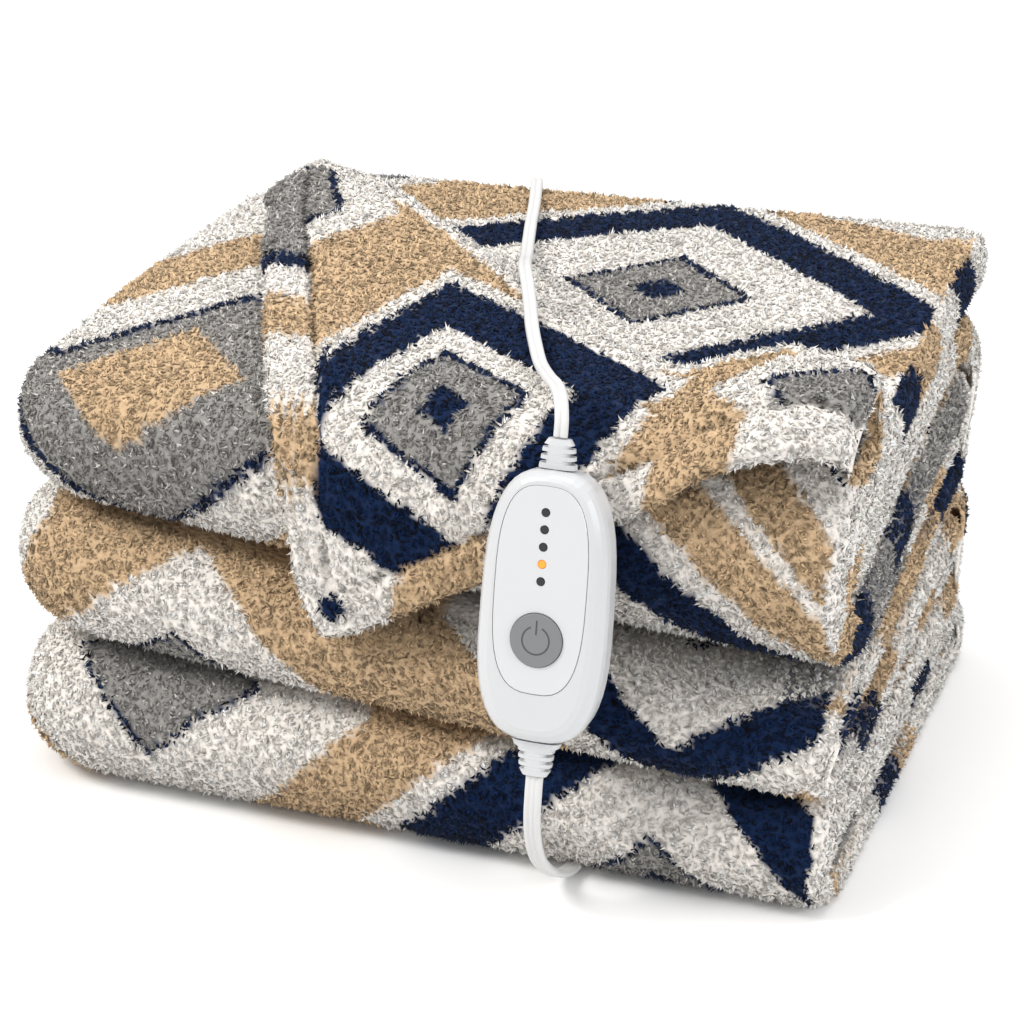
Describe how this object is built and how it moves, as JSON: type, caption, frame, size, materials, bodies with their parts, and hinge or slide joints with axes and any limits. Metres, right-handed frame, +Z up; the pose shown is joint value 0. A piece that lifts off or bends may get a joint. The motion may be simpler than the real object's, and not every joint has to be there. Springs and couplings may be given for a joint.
{
  "type": "electric heated blanket",
  "caption": "Folded plush heated throw in a lozenge pattern, with one corner turned over its front and an in-line controller hanging on flat leads.",
  "frame": {"origin": "centre of the folded throw's and controller's bounding box, on the surface it lies on", "axes": "+X to the right along the folds, -Y towards the front where the controller hangs, +Z up"},
  "size_m": [0.4246, 0.4817, 0.2571],
  "materials": {
    "plush": "high pile plush",
    "white_plastic": "satin gloss",
    "grey_button": "satin",
    "dark_lamp": "gloss",
    "lit_lamp": "gloss",
    "white_lead": "satin",
    "nickel_blade": "nickel plated"
  },
  "bodies": {
    "throw": {"blanket": "plush", "controller_front_shell": "white_plastic", "controller_back_shell": "white_plastic", "controller_face_panel": "white_plastic", "lamp_1": "dark_lamp", "lamp_2": "dark_lamp", "lamp_3": "dark_lamp", "lamp_4": "lit_lamp", "lamp_5": "dark_lamp", "relief_top": "white_plastic", "relief_bottom": "white_plastic", "mains_lead": "white_lead", "mains_coil": "white_lead", "mains_tail": "white_lead", "mains_plug": "white_plastic", "plug_blade_1": "nickel_blade", "plug_blade_2": "nickel_blade", "blanket_lead": "white_lead"},
    "button": {"power_button": "grey_button"}
  },
  "joints": [
    {"name": "button_press", "type": "slide", "parent": "throw", "child": "button", "axis": [0, 0.9781, -0.2079], "range_m": [0, 0.001], "stiffness_N_per_m": 300, "springref_m": -0.001}
  ]
}
